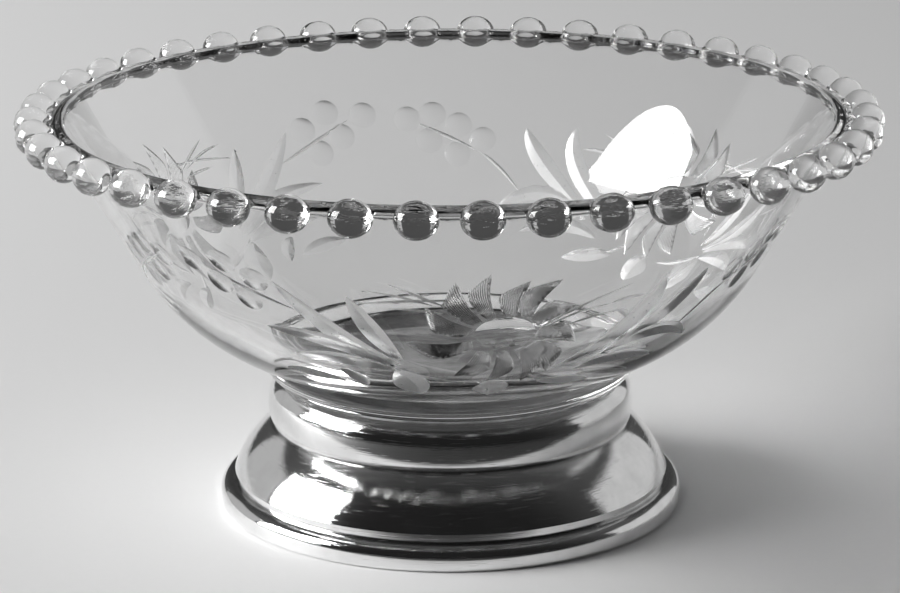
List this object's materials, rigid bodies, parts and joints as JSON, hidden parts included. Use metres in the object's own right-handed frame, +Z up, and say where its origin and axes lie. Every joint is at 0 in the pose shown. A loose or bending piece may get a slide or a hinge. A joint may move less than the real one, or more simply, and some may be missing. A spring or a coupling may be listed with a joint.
{
  "type": "mayonnaise bowl",
  "caption": "Low pressed-glass sauce bowl with wheel-cut flower sprays and a beaded glass rim, set in a small spun silver foot.",
  "frame": {"origin": "centre of the ring that the foot stands on, at table height", "axes": "+Z up along the axis that every piece is turned about; -Y towards the viewer as pictured, +X to their right"},
  "size_m": [0.1322, 0.1322, 0.0637],
  "materials": {
    "glass": "clear, polished",
    "silver": "polished silver with fine use scratches",
    "plaster": "chalky",
    "cover": "matt tinned sheet"
  },
  "bodies": {
    "root": {"glass_bowl": "glass", "silver_foot": "silver", "setting_plaster": "plaster", "base_cover": "cover"}
  },
  "joints": []
}
